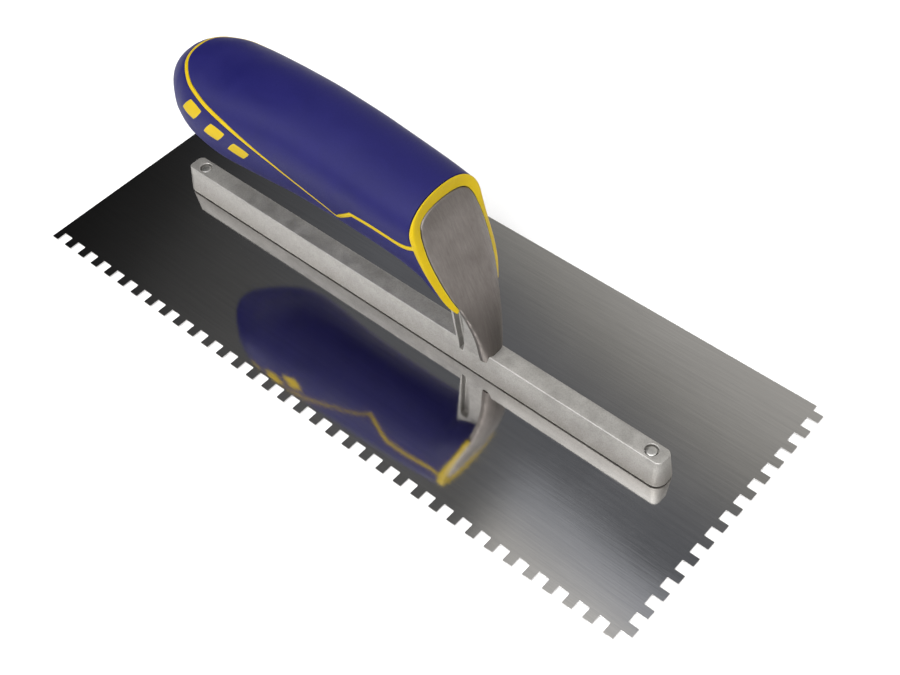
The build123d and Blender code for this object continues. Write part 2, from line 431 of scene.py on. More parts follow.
def fill_ramp(ramp, stops):
    """Set a colour ramp from (position, colour)."""
    while len(ramp.elements) < len(stops):
        ramp.elements.new(0.5)
    for element, (position, colour) in zip(ramp.elements, stops):
        element.position = position
        element.color = (*colour, 1)


class Nodes:
    """Small builder for one material's node tree."""

    def __init__(self, name):
        self.material = bpy.data.materials.new(name)
        self.material.use_nodes = True
        self.tree = self.material.node_tree
        self.shader = self.tree.nodes["Principled BSDF"]
        self.place = self.new("ShaderNodeTexCoord").outputs["Object"]

    def new(self, kind, **constants):
        """Node of a kind, with constants for its inputs."""
        node = self.tree.nodes.new(kind)
        for name, value in constants.items():
            node.inputs[name.replace("_", " ")].default_value = value
        return node

    def link(self, source, target):
        self.tree.links.new(source, target)

    def set(self, **values):
        for name, value in values.items():
            self.shader.inputs[name.replace("_", " ")].default_value = value

    def stretched(self, scale):
        """Object coordinates in metres times a scale for each axis."""
        mapping = self.new("ShaderNodeMapping", Scale=scale)
        self.link(self.place, mapping.inputs["Vector"])
        return mapping.outputs["Vector"]

    def noise(self, scale, detail=4.0, roughness=0.6, stretch=None, distortion=0.0):
        constants = dict(Scale=scale, Detail=detail, Roughness=roughness, Distortion=distortion)
        node = self.new("ShaderNodeTexNoise", **constants)
        self.link(self.stretched(stretch) if stretch else self.place, node.inputs["Vector"])
        return node.outputs["Fac"]

    def shades(self, source, dull, pale):
        """Colour between two shades by a noise value."""
        node = self.new("ShaderNodeValToRGB")
        fill_ramp(node.color_ramp, [(NOISE_LOW, dull), (NOISE_HIGH, pale)])
        self.link(source, node.inputs["Fac"])
        return node.outputs["Color"]

    def spread(self, source, low, high, low_in=NOISE_LOW, high_in=NOISE_HIGH):
        """Map a value to a range, and clamp it there."""
        constants = dict(From_Min=low_in, From_Max=high_in, To_Min=low, To_Max=high)
        node = self.new("ShaderNodeMapRange", **constants)
        self.link(source, node.inputs["Value"])
        return node.outputs["Result"]

    def math(self, operation, first, second):
        node = self.new("ShaderNodeMath")
        node.operation = operation
        self.link(first, node.inputs[0])
        self.link(second, node.inputs[1])
        return node.outputs["Value"]

    def add(self, first, second):
        return self.math("ADD", first, second)

    def multiply(self, first, second):
        return self.math("MULTIPLY", first, second)

    def fade(self, high, low_z, high_z):
        """Falls from high to 0 between two heights, in metres."""
        parts = self.new("ShaderNodeSeparateXYZ")
        self.link(self.place, parts.inputs["Vector"])
        return self.spread(parts.outputs["Z"], high, 0.0, low_z, high_z)

    def mix(self, amount, first, second):
        """First colour, with the second one over it by the amount."""
        node = self.new("ShaderNodeMix")
        node.data_type = "RGBA"
        self.link(amount, node.inputs["Factor"])
        self.link(first, node.inputs[6])
        node.inputs[7].default_value = (*second, 1)
        return node.outputs[2]

    def finish(self, tone, rough, bumps):
        """Plug in colour, roughness and a chain of bumps from (height, strength, distance in metres)."""
        self.link(tone, self.shader.inputs["Base Color"])
        self.link(rough, self.shader.inputs["Roughness"])
        normal = None
        for height, strength, distance in bumps:
            node = self.new("ShaderNodeBump", Strength=strength, Distance=distance)
            self.link(height, node.inputs["Height"])
            if normal is not None:
                self.link(normal, node.inputs["Normal"])
            normal = node.outputs["Normal"]
        self.link(normal, self.shader.inputs["Normal"])
        return self.material

    def edges(self):
        """1 on convex edges and 0 elsewhere, by comparing the rounded normal with the true one."""
        bevel = self.new("ShaderNodeBevel", Radius=WORN_EDGE)
        bevel.samples = 6
        true_normal = self.new("ShaderNodeNewGeometry").outputs["Normal"]
        dot = self.new("ShaderNodeVectorMath")
        dot.operation = "DOT_PRODUCT"
        self.link(bevel.outputs["Normal"], dot.inputs[0])
        self.link(true_normal, dot.inputs[1])
        return self.spread(dot.outputs["Value"], 1.0, 0.0, 0.75, 0.99)


def steel_blade():
    """Cold-rolled blade steel: near mirror, with fine lines along the blade and faint scratches."""
    n = Nodes("blade_steel")
    n.set(Metallic=1.0, Anisotropic=0.35)
    lines = n.noise(1.0, 6.0, 0.7, stretch=(60, 2600, 60))
    fine = n.noise(1.0, 3.0, 0.6, stretch=(220, 9000, 100))
    cloud = n.noise(14.0, 4.0, 0.55, distortion=0.6)
    scratch = n.noise(1.0, 8.0, 0.8, stretch=(900, 260, 100), distortion=0.4)
    streaks = n.noise(1.0, 6.0, 0.7, stretch=(25, 750, 60))
    tone = n.shades(cloud, BLADE_DULL, BLADE_PALE)
    tone = n.mix(n.spread(streaks, 0.0, 0.6), tone, BLADE_STREAK)
    rough = n.add(n.spread(lines, 0.03, 0.075), n.spread(cloud, -0.01, 0.02))
    rough = n.add(rough, n.spread(scratch, 0.0, 0.03, 0.55, 0.75))
    return n.finish(tone, rough, (
        (streaks, 0.08, 0.00004),
        (lines, 0.1, 0.00002),
        (fine, 0.08, 0.00001),
        (cloud, 0.04, 0.0006),
    ))


def cast_aluminium():
    """Tumbled die casting: satin grey with a fine grain, pits, paler worn edges, and darker in patches
    towards its foot.
    """
    n = Nodes("cast_aluminium")
    n.set(Metallic=0.92)
    grain = n.noise(1900.0, 3.0, 0.6)
    mottle = n.noise(160.0, 5.0, 0.65, distortion=0.4)
    patch = n.noise(28.0, 4.0, 0.6, distortion=0.8)
    pits = n.new("ShaderNodeTexVoronoi", Scale=620.0)
    n.link(n.place, pits.inputs["Vector"])
    pit = n.spread(pits.outputs["Distance"], 0.0, 1.0, 0.05, 0.22)
    tone = n.shades(mottle, CAST_DULL, CAST_PALE)
    tone = n.mix(n.spread(patch, 0.0, 0.5), tone, CAST_PATCH)
    tone = n.mix(n.spread(grain, 0.0, 0.4, 0.45, 0.7), tone, CAST_GRAIN)
    # Darker in patches towards the foot, fading out 9 mm up.
    foot = n.fade(0.6, 0.0012, 0.009)
    tone = n.mix(n.multiply(foot, n.spread(patch, 0.3, 1.0)), tone, CAST_FOOT_DARK)
    tone = n.mix(n.edges(), tone, CAST_WORN)
    rough = n.add(n.spread(mottle, 0.48, 0.6), n.spread(grain, -0.04, 0.06))
    return n.finish(tone, rough, (
        (patch, 0.2, 0.0006),
        (mottle, 0.4, 0.00025),
        (grain, 0.5, 0.00005),
        (pit, 0.25, 0.00004),
    ))


def brushed_shield_painted_shade():
    """The casting's face: linished, so its lines run along the height. Its tones are set darker than the
    bar's, which is painted shade, and it darkens towards its foot, also painted shade.
    """
    n = Nodes("linished_aluminium_painted_shade")
    n.set(Metallic=1.0, Anisotropic=0.3)
    lines = n.noise(1.0, 5.0, 0.7, stretch=(500, 1500, 60))
    mottle = n.noise(130.0, 5.0, 0.65, distortion=0.5)
    patch = n.noise(40.0, 3.0, 0.5, distortion=0.7)
    grain = n.noise(1700.0, 3.0, 0.6)
    # Painted shade: the face's tones are darker than those of the bar's casting.
    tone = n.shades(mottle, SHIELD_SHADED_DULL, SHIELD_SHADED_PALE)
    tone = n.mix(n.spread(patch, 0.0, 0.4), tone, SHIELD_SHADED_PATCH)
    tone = n.mix(n.spread(lines, 0.0, 0.5), tone, SHIELD_SHADED_LINES)
    # Painted shade: the face darkens towards its foot, from 50 mm down to 12 mm.
    tone = n.mix(n.fade(0.5, 0.012, 0.05), tone, SHIELD_FOOT_PAINTED_SHADE)
    tone = n.mix(n.edges(), tone, SHIELD_SHADED_WORN)
    rough = n.add(n.spread(lines, 0.4, 0.54), n.spread(grain, -0.03, 0.05))
    return n.finish(tone, rough, ((patch, 0.15, 0.0008), (lines, 0.16, 0.00005), (grain, 0.25, 0.00003)))


def soft_rubber():
    """Soft-touch moulding: matt navy with a spark-eroded grain and slight handling marks."""
    n = Nodes("soft_touch_rubber")
    n.set(Metallic=0.0, IOR=1.5, Specular_IOR_Level=0.2)
    grain = n.noise(2600.0, 2.0, 0.6)
    mottle = n.noise(70.0, 4.0, 0.6, distortion=0.5)
    rubbed = n.noise(16.0, 3.0, 0.5, distortion=1.0)
    tone = n.shades(mottle, RUBBER_DULL, RUBBER_PALE)
    tone = n.mix(n.spread(rubbed, 0.0, 0.35), tone, RUBBER_RUBBED)
    tone = n.mix(n.spread(grain, 0.0, 0.25), tone, RUBBER_GRAIN)
    rough = n.add(n.spread(mottle, 0.46, 0.55), n.spread(grain, -0.04, 0.06))
    return n.finish(tone, rough, ((rubbed, 0.1, 0.0005), (grain, 0.3, 0.00003)))


def yellow_plastic():
    """Hard core moulding: satin yellow, faintly mottled and paler on its edges."""
    n = Nodes("core_plastic")
    n.set(Metallic=0.0, IOR=1.47, Specular_IOR_Level=0.12)
    grain = n.noise(2100.0, 2.0, 0.6)
    mottle = n.noise(90.0, 4.0, 0.6, distortion=0.4)
    tone = n.mix(n.edges(), n.shades(mottle, YELLOW_DULL, YELLOW_PALE), YELLOW_EDGE)
    rough = n.add(n.spread(mottle, 0.34, 0.44), n.spread(grain, -0.03, 0.05))
    return n.finish(tone, rough, ((mottle, 0.1, 0.0002), (grain, 0.2, 0.00002)))


def rivet_steel():
    """Peened stud ends: bright steel with hammer dimples."""
    n = Nodes("rivet_steel")
    n.set(Metallic=1.0)
    dimples = n.noise(900.0, 3.0, 0.6, distortion=0.3)
    grain = n.noise(3500.0, 2.0, 0.6)
    tone = n.shades(dimples, RIVET_DULL, RIVET_PALE)
    return n.finish(tone, n.spread(grain, 0.26, 0.42), ((dimples, 0.35, 0.00012), (grain, 0.2, 0.00003)))


def floor_paint():
    """Pale studio floor."""
    n = Nodes("floor_paint")
    n.set(Roughness=0.9)
    n.link(n.shades(n.noise(6.0), FLOOR_DULL, FLOOR_PALE), n.shader.inputs["Base Color"])
    return n.material


# ---- blade


def notched_edge(first, end):
    """Corners of an edge as (place along it, depth). Its last notch may be cut off by the end."""
    corners = []
    at = first
    while at < end:
        corners += [(at, 0), (at, NOTCH_DEPTH)]
        if at + NOTCH_GAP > end:
            return corners + [(end, NOTCH_DEPTH)]
        corners += [(at + NOTCH_GAP, NOTCH_DEPTH), (at + NOTCH_GAP, 0)]
        at += NOTCH_PITCH
    return corners + [(end, 0)]


def blade_outline():
    """The blade's edge, anticlockwise from the rear near corner."""
    left, right = BLADE_LOW.x, BLADE_HIGH.x
    near, far = BLADE_LOW.y, BLADE_HIGH.y
    long_edge = [(x, near + depth) for x, depth in notched_edge(left + FIRST_TOOTH, right)]
    first = near + NOTCH_DEPTH + NOTCH_PITCH - NOTCH_GAP
    short_edge = [(right - depth, y) for y, depth in notched_edge(first, far)]
    return [(left, near), *long_edge, *short_edge, (left, far)]


def round_corners(corners, radius, steps=3):
    """Replace each corner of an outline by a small arc."""
    outline = []
    count = len(corners)
    for i, corner in enumerate(corners):
        here = Vector(corner)
        before = Vector(corners[i - 1]) - here
        after = Vector(corners[(i + 1) % count]) - here
        reach = min(radius, before.length * 0.45, after.length * 0.45)
        start = here + before.normalized() * reach
        end = here + after.normalized() * reach
        for k in range(steps + 1):
            t = k / steps
            outline.append(start * (1 - t) ** 2 + here * 2 * t * (1 - t) + end * t**2)
    return outline


def inset(outline, amount):
    """Outline moved inwards by the amount, for an anticlockwise outline."""
    count = len(outline)
    moved = []
    for i, here in enumerate(outline):
        back = (here - outline[i - 1]).normalized()
        ahead = (outline[(i + 1) % count] - here).normalized()
        normal = Vector((-back.y, back.x)) + Vector((-ahead.y, ahead.x))
        normal.normalize()
        share = max(0.5, normal.dot(Vector((-back.y, back.x))))
        moved.append(here + normal * (amount / share))
    return moved


def build_blade(material):
    outline = round_corners(blade_outline(), TOOTH_ROUND)
    levels = (
        (BLADE_LOW.z, BLADE_EDGE),
        (BLADE_LOW.z + BLADE_EDGE, 0.0),
        (BLADE_HIGH.z - BLADE_EDGE, 0.0),
        (BLADE_HIGH.z - 0.3 * BLADE_EDGE, 0.3 * BLADE_EDGE),
        (BLADE_HIGH.z, BLADE_EDGE),
    )
    rings = [[(p.x, p.y, z) for p in inset(outline, amount)] for z, amount in levels]
    piece = make_piece("blade_sheet", *loft(rings), material, "blade_steel", 8)
    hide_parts("blade")


# ---- casting


def bar_rings():
    """Rings of the bar from the blade to its softened top edge."""
    front = CASTING_HIGH.x + BAR_FRONT_REACH
    rear = CASTING_LOW.x - BAR_REAR_REACH
    half_length = (front - rear) / 2
    middle = (front + rear) / 2
    lip = BAR_FOOT + BAR_GAP
    levels = [(BAR_FOOT + 0.02, 1.0), (lip, BAR_FOOT_PULL), (lip, BAR_FOOT_STEP)]
    side_foot = lip + BAR_LIP_HEIGHT
    side_head = BAR_TOP - BAR_TOP_ROUND
    for i in range(9):
        levels.append((side_foot + i * (side_head - side_foot) / 8, 0.0))
    for i in range(1, 7):
        angle = i / 6 * math.pi / 2
        height = side_head + BAR_TOP_ROUND * math.sin(angle)
        levels.append((height, BAR_TOP_ROUND * (1 - math.cos(angle))))
    rings = []
    for z, pull in levels:
        slope = (z - BAR_FOOT) * BAR_SLOPE
        rise = (z - BAR_FOOT) / (BAR_TOP - BAR_FOOT)
        corner = BAR_FOOT_CORNER + (BAR_TOP_CORNER - BAR_FOOT_CORNER) * rise - 0.5 * pull
        ring = rounded_rectangle(half_length - slope - pull, BAR_HALF_WIDTH - slope - pull, corner)
        rings.append([(x + middle, y, z) for x, y in ring])
    return rings


def cut(piece, cutters):
    """Take the cutters out of a piece, and delete them."""
    for tool in cutters:
        modifier = piece.modifiers.new("cut", "BOOLEAN")
        modifier.operation = "DIFFERENCE"
        modifier.solver = "EXACT"
        modifier.object = tool
    apply_modifiers(piece)
    for tool in cutters:
        bpy.data.objects.remove(tool)


def counterbore(x):
    """Cutter for a rivet's hole in the bar's top, with a small chamfer at its mouth."""
    profile = (
        (COUNTERBORE_RADIUS, BAR_TOP - COUNTERBORE_DEPTH),
        (COUNTERBORE_RADIUS, BAR_TOP - 0.15),
        (COUNTERBORE_RADIUS + COUNTERBORE_CHAMFER, BAR_TOP + 0.02),
        (COUNTERBORE_RADIUS + COUNTERBORE_CHAMFER, BAR_TOP + 1),
    )
    return new_object("cutter", *loft(lathe(profile, x)))


def prism(name, outline, low_y, high_y):
    """Object in the form of a prism across the trowel over an outline of (x, z)."""
    rings = [[(x, y, z) for x, z in outline] for y in (low_y, high_y)]
    return new_object(name, *loft(rings))


def recess_cutters(outline, half_width):
    """A cutter for each side, from the web out past the half-width."""
    return [prism("cutter", outline, side * WEB_HALF_WIDTH, side * (half_width + 1)) for side in (-1, 1)]


def build_bar(material):
    piece = make_piece("mounting_bar", *loft(bar_rings()), material, "cast_aluminium", 30)
    tools = [counterbore((low.x + high.x) / 2) for low, high in RIVETS]
    tools += recess_cutters(SLOT, BAR_HALF_WIDTH)
    cut(piece, tools)
    finish_piece(piece, material, 30)
    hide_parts("shank_casting")


def build_post(material):
    """Rim, web and block, merged and softened like one casting."""
    rim_x, rim_z = RIM_REAR_FOOT
    foot = (rim_x + RIM_LEAN * (rim_z - POST_FOOT_Z), POST_FOOT_Z)
    head = (rim_x - RIM_LEAN * (POST_HEAD_Z - rim_z), POST_HEAD_Z)
    front = [(float(face_edge(z)) - POST_SET_BACK, z) for z in POST_FRONT_HEIGHTS]
    piece = prism("post", [foot, *front, head], -POST_HALF_WIDTH, POST_HALF_WIDTH)
    slot = [(x, z - 1 if z == SLOT[0][1] else z) for x, z in SLOT]
    cut(piece, recess_cutters(slot, POST_HALF_WIDTH))
    remesh = piece.modifiers.new("merge", "REMESH")
    remesh.mode = "VOXEL"
    remesh.voxel_size = POST_VOXEL * MM
    soften = piece.modifiers.new("soften", "SMOOTH")
    soften.iterations = 3
    soften.factor = 0.6
    apply_modifiers(piece)
    finish_piece(piece, material, 60)


def shield_sides(steps):
    """The shield's outline from the front: points up its right side and over its top to the middle."""
    half = smooth_curve([(z, half) for half, z in SHIELD_SIDE])
    foot, shoulder = SHIELD_SIDE[0][1], SHIELD_SIDE[-1]
    z = np.linspace(foot, shoulder[1], steps)
    side = np.stack([half(z), z], 1)
    small = 0.05
    lean = float(half(shoulder[1]) - half(shoulder[1] - small)) / small
    rise = SHIELD_TOP_Z - shoulder[1]
    turn = SHOULDER_BULGE * rise
    start = np.array(shoulder)
    corner = start + np.array([lean, 1.0]) * turn
    end = np.array([0.0, SHIELD_TOP_Z])
    pull = np.array([shoulder[0] * SHOULDER_BULGE, SHIELD_TOP_Z])
    t = np.linspace(0, 1, steps)[:, None]
    near = (1 - t) ** 3 * start + 3 * (1 - t) ** 2 * t * corner
    far = 3 * (1 - t) * t**2 * pull + t**3 * end
    return side, near + far


def shield_outline(steps=160):
    """Whole outline, right side up and left side down, as (y, z)."""
    side, top = shield_sides(steps)
    right = np.concatenate([side, top[1:]])
    left = right[::-1][1:] * (-1, 1)
    return np.concatenate([right, left])


def along_at(points, shares):
    """Points at the given shares of a polyline's length."""
    run = np.concatenate([[0], np.cumsum(np.linalg.norm(np.diff(points, axis=0), axis=1))])
    return np.stack([np.interp(shares * run[-1], run, column) for column in points.T], 1)


def shield_front(z, away):
    """X of the shield's front: the edge line, plus a crown that grows away from the edge."""
    edge = face_edge(z)
    foot = SHIELD_SIDE[0][1]
    share = (z - foot) / (SHIELD_TOP_Z - foot)
    crown = CROWN_FOOT + (CROWN_HEAD - CROWN_FOOT) * share
    reach = np.minimum(CROWN_REACH, CROWN_FOOT_REACH + CROWN_REACH_GROWTH * share)
    t = np.clip(away / reach, 0, 1)
    rounding = np.sqrt(1 - (1 - np.clip(away / SHIELD_EDGE_ROUND, 0, 1)) ** 2)
    return edge + crown * (1 - (1 - t) ** CROWN_POWER) + SHIELD_EDGE_ROUND * (rounding - 1)


def build_shield(material):
    """Crowned face plate with a rounded edge, on a grid that follows its outline."""
    rows, columns = border_columns(70, 60.0), border_columns(40, 26.0)
    side, top = shield_sides(400)
    right = along_at(side, rows)
    left = right * (-1, 1)
    head = np.concatenate([top, top[::-1][1:] * (-1, 1)])[::-1]
    head = along_at(head, columns)
    foot = np.stack([(2 * columns - 1) * side[0, 0], np.full(len(columns), side[0, 1])], 1)
    s, t = columns[None, :, None], rows[:, None, None]
    flat = (1 - t) * foot[None] + t * head[None] + (1 - s) * left[:, None] + s * right[:, None]
    flat -= (1 - s) * (1 - t) * left[0] + s * (1 - t) * right[0]
    flat -= (1 - s) * t * left[-1] + s * t * right[-1]
    y, z = flat[..., 0], flat[..., 1]
    outline = shield_outline()
    away = np.sqrt(((flat[:, :, None, :] - outline) ** 2).sum(-1)).min(-1)
    away[:, 0] = away[:, -1] = away[-1] = 0
    front = np.stack([shield_front(z, away), y, z], -1)
    back = np.stack([face_edge(z) - SHIELD_THICKNESS, y, z], -1)
    shell_from_grid("shield", front, back, material, "cast_aluminium", 50)


# ---- rivets


def build_rivet(name, node, material):
    """Peened stud end, slightly domed, sunk in its counterbore."""
    low, high = box_mm(node)
    radius = (high.x - low.x) / 2
    head = [(radius * share, high.z + rise) for share, rise in RIVET_PROFILE]
    rings = lathe([(0.0, low.z), (radius, low.z), *head], (low.x + high.x) / 2)
    piece = make_piece(name, *loft(rings, capped=False), material, "rivet_steel", 50)
    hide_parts(node)


# ---- handle


def half_section(x, upper):
    """Height and superellipse power of the section's upper or lower half at x."""
    height = np.sqrt(np.where(upper, rise_square(x), drop_square(x)))
    return height, np.where(upper, TOP_POWER, low_power(x))


def section_point(x, angle):
    """y and z on the handle at x. Angle 0 is the top, pi the underside."""
    height, power = half_section(x, np.cos(angle) >= 0)
    y = np.sqrt(half_square(x)) * np.abs(np.sin(angle)) ** (2 / power)
    z = wide_at(x) + np.sign(np.cos(angle)) * height * np.abs(np.cos(angle)) ** (2 / power)
    return y, z


def angle_at(x, z):
    """Angle of the point of the handle's side at x and height z."""
    above = z >= wide_at(x)
    height, power = half_section(x, above)
    share = np.clip(np.abs(z - wide_at(x)) / np.maximum(height, 1e-6), 0, 1) ** (power / 2)
    return np.where(above, np.arccos(share), math.pi - np.arccos(share))


def handle_point(station, angle):
    """Point of the handle's side for a station. Stations lean more and more until, at COLLAR, they
    follow the collar's rear line."""
    x = np.broadcast_to(station, np.broadcast(station, angle).shape).astype(float).copy()
    start = x.copy()
    lean = np.clip((start - LEAN_START) / (COLLAR - LEAN_START), 0, 1)
    lean = lean * lean * (3 - 2 * lean)
    for _ in range(12):
        _, z = section_point(x, angle)
        leaning = collar_rear(z) - COLLAR
        x = 0.4 * x + 0.6 * (start + lean * leaning)
    y, z = section_point(x, angle)
    return np.stack([x, y, z], -1)


def outward(station, angle):
    """Point of the handle's side and its outward unit normal."""
    small = 1e-3
    point = handle_point(station, angle)
    along = handle_point(station + small, angle) - handle_point(station - small, angle)
    turn = np.clip(angle, 2 * small, math.pi - 2 * small)
    around = handle_point(station, turn + small) - handle_point(station, turn - small)
    normal = np.cross(along, around)
    length = np.maximum(np.linalg.norm(normal, axis=-1, keepdims=True), 1e-12)
    return point, normal / length


def line_height(x, offset):
    """Height of the line at x, moved up by the offset measured across the line. The line sinks to a
    notch, steps up and runs level."""
    notch_x, notch_z = LINE_REAR[-1]
    fall = (LINE_REAR[-1][1] - LINE_REAR[-2][1]) / (LINE_REAR[-1][0] - LINE_REAR[-2][0])
    small = 0.2
    rear_slope = (rear_line(x + small) - rear_line(x - small)) / (2 * small)
    rear_slope = np.where(x > notch_x - small, fall, rear_slope)
    rear = rear_line(x) + np.maximum(x - notch_x, 0) * fall
    climb = (LINE_STEP[1] - notch_z) / (LINE_STEP[0] - notch_x)
    step = notch_z + (x - notch_x) * climb
    front = front_line(x)
    rear = rear + offset * np.sqrt(1 + rear_slope**2)
    step = step + offset * math.sqrt(1 + climb**2)
    whole = np.maximum(rear, step)
    return np.where(x > notch_x, np.minimum(whole, front + offset), whole)


def line_angle(station, offset):
    """Angle at which the moved line crosses each station."""
    angle = np.full(np.shape(station), 1.2)
    for _ in range(40):
        x = handle_point(station, angle)[..., 0]
        angle = 0.5 * angle + 0.5 * angle_at(x, line_height(x, offset))
    return angle


def path_stations():
    """Stations along the line, close together at the tail and at the notch."""
    tail = TAIL_CROSSING + (np.linspace(0, 1, 60) ** 2) * (LINE_TAIL_END - TAIL_CROSSING)
    middle = np.linspace(LINE_TAIL_END, LINE_NOTCH_START, 50)[1:]
    notch = np.linspace(LINE_NOTCH_START, NOTCH_END, 60)[1:]
    front = np.linspace(NOTCH_END, COLLAR, 24)[1:]
    return np.concatenate([tail, middle, notch, front])


def line_edge(side, gap):
    """Stations and angles of the line's upper (side 1) or lower (side -1) edge, moved out by the gap."""
    station = path_stations()
    offset = side * (line_width(station) / 2 + gap)
    level = line_angle(station, offset)
    centre = line_angle(station, 0.0 * station)
    centre[0] = 0.0
    point, normal = outward(station, centre)
    track = np.gradient(point, axis=0)
    track[0] = (0.0, 1.0, 0.0)
    track /= np.linalg.norm(track, axis=1, keepdims=True)
    across = np.cross(normal, track)
    across *= np.sign(across[:, 2:3])
    small = 1e-3
    along = (handle_point(station + small, centre) - handle_point(station, centre)) / small
    around = (handle_point(station, centre + small) - handle_point(station, centre)) / small
    moved_station = station.copy()
    moved_angle = centre.copy()
    for i in range(len(station)):
        basis = np.stack([along[i], around[i]], 1)
        step = np.linalg.lstsq(basis, across[i] * offset[i], rcond=None)[0]
        moved_station[i] += step[0]
        moved_angle[i] = abs(centre[i] + step[1])
    moved_angle[0] = 0.0
    blend = np.clip((station - LINE_BLEND_START) / LINE_BLEND_LENGTH, 0, 1)
    angle = moved_angle * (1 - blend) + level * blend
    return moved_station * (1 - blend) + station * blend, angle


def edge_angle(edge):
    """Function giving an edge's angle at any station: 0 behind the place where it crosses over."""
    station, angle = edge
    order = np.argsort(station)
    known, square = station[order], angle[order] ** 2

    def evaluate(at):
        return np.where(at <= known[0], 0.0, np.sqrt(np.interp(at, known, square)))

    return evaluate


def shell_from_grid(name, outer, inner, material, slot, crease=40):
    """Closed shell between two grids of points of the same shape, rows by columns by 3."""
    rows, columns = outer.shape[:2]
    number = np.arange(rows * columns).reshape(rows, columns)
    inside = number + rows * columns
    faces = strip_faces(number.tolist(), False) + strip_faces(inside.tolist(), False)
    rim = list(number[:, 0]) + list(number[-1, 1:]) + list(number[::-1, -1][1:])
    rim += list(number[0, ::-1][1:-1])
    faces += strip_faces([[int(i) for i in rim], [int(i) + rows * columns for i in rim]], True)
    points = np.concatenate([outer.reshape(-1, 3), inner.reshape(-1, 3)])
    return make_piece(name, points.tolist(), faces, material, slot, crease)


def border_columns(count, reach):
    """Shares across a panel from one border to the other, close together near both."""
    near = np.array(BORDER_STEPS) / reach
    middle = np.linspace(near[-1], 1 - near[-1], count)[1:-1]
    return np.concatenate([near, middle, 1 - near[::-1]])


def signed_point(station, angle):
    """Handle points and normals for angles on both sides: negative ones lie on the near side."""
    point, normal = outward(station, np.abs(angle))
    flip = np.where(angle < 0, -1.0, 1.0)
    point[..., 1] *= flip
    normal[..., 1] *= flip
    return point, normal


def sink(point, normal, depth):
    """Points moved in from the surface by a depth, or by one for each."""
    return point - normal * np.asarray(depth)[..., None]


def grip_stations():
    """Stations from the tail's end to the collar, close together at the notch and at the front."""
    return [
        np.linspace(TAIL_END, NOTCH_START, 60)[1:],
        np.linspace(NOTCH_START, NOTCH_END, 64)[1:],
        np.linspace(NOTCH_END, GRIP_FRONT - 1.2, 26)[1:],
        GRIP_FRONT - np.array([0.7, 0.4, 0.2, 0.08, 0.0]),
    ]


def border_grid(start, end, shares):
    """Angles at the shares from one border to the other, for each station."""
    return start[:, None] + (end - start)[:, None] * shares[None, :]


def border_distance(point):
    """Distance along each row to the nearer end of the row."""
    step = np.linalg.norm(np.diff(point, axis=1), axis=2)
    run = np.concatenate([np.zeros((len(point), 1)), np.cumsum(step, 1)], 1)
    return np.minimum(run, run[:, -1:] - run)


def build_upper_grip(material):
    """Upper panel: over the top of the handle from side to side, in front of the crossing."""
    edge = line_edge(1, SEAM_GAP)
    first = edge[0].min() + TAIL_CLEARANCE
    tail = first + (TAIL_END - first) * np.linspace(0, 1, 40) ** 2
    stations = np.concatenate([tail, *grip_stations()])
    border = edge_angle(edge)(stations)
    angle = border_grid(-border, border, border_columns(90, 40.0))
    point, normal = signed_point(np.repeat(stations[:, None], angle.shape[1], 1), angle)
    along = np.minimum(GRIP_FRONT - stations, FRONT_REACH)[:, None]
    distance = np.minimum(border_distance(point), along)
    distance = np.minimum(distance, (stations - first)[:, None] + TAIL_LEAST)
    outer = sink(point, normal, edge_drop(distance))
    inner = sink(point, normal, GRIP_DEPTH)
    piece = shell_from_grid("upper_grip", outer, inner, material, "grip_rubber")
    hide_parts("grip_upper")


def build_lower_grip(material):
    """Lower panel: under the line on both sides, and all round behind the line's crossing."""
    edge = line_edge(-1, SEAM_GAP)
    crossing = edge[0].min()
    tip = TIP_X + (crossing - TIP_X) * np.linspace(0.0, 1, 14) ** 2
    tip[0] = TIP_X + 1e-4
    tail = crossing + (TAIL_END - crossing) * np.linspace(0, 1, 44)[1:] ** 2
    stations = np.concatenate([tip, tail, *grip_stations()])
    border = edge_angle(edge)(stations)
    turn = border_grid(border, 2 * math.pi - border, border_columns(110, 60.0))
    angle = np.where(turn > math.pi, turn - 2 * math.pi, turn)
    station = np.repeat(stations[:, None], angle.shape[1], 1)
    point, normal = signed_point(station, angle)
    along = np.minimum(GRIP_FRONT - stations, FRONT_REACH)[:, None]
    opened = np.clip(border / OPEN_BORDER, 0, 1)[:, None]
    drop = edge_drop(np.minimum(border_distance(point), along))
    drop = np.where(along < FRONT_REACH, drop, drop * opened)
    outer = sink(point, normal, drop)
    inner = sink(point, normal, GRIP_DEPTH)
    centre = np.stack([station + TIP_PUSH, 0 * station, wide_at(station)], -1)
    squeeze = np.clip((stations - TIP_X) / TIP_LENGTH, 0, 1)[:, None, None]
    inner = centre + (inner - centre) * np.clip(squeeze, TIP_LEAST, 1)
    piece = shell_from_grid("lower_grip", outer, inner, material, "grip_rubber")
    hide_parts("grip_lower")


def build_line(material):
    """Yellow strip of the core that shows between the grips, round the tail in one run."""
    upper = line_edge(1, 0.0)
    lower = line_edge(-1, 0.0)
    station = border_grid(lower[0], upper[0], np.array(LINE_SHARES))
    angle = border_grid(lower[1], upper[1], np.array(LINE_SHARES))
    point, normal = outward(station, angle)
    point = sink(point, normal, LINE_DEPTHS)
    far = point[1:][::-1]
    near = point.copy()
    near[..., 1] *= -1
    point[0, :, 1] = 0
    strip = np.concatenate([far, point[:1], near[1:]])
    make_piece("grip_line", *loft(strip), material, "core_plastic", 50)


def shield_radius(bearing):
    """Distance from the collar's centre to the shield's outline, by bearing from straight up."""
    outline = shield_outline()
    outline = outline[outline[:, 0] >= 0]
    bearings = np.arctan2(outline[:, 0], outline[:, 1] - COLLAR_CENTRE_Z)
    order = np.argsort(bearings)
    radius = np.hypot(outline[:, 0], outline[:, 1] - COLLAR_CENTRE_Z)
    return np.interp(bearing, bearings[order], radius[order])


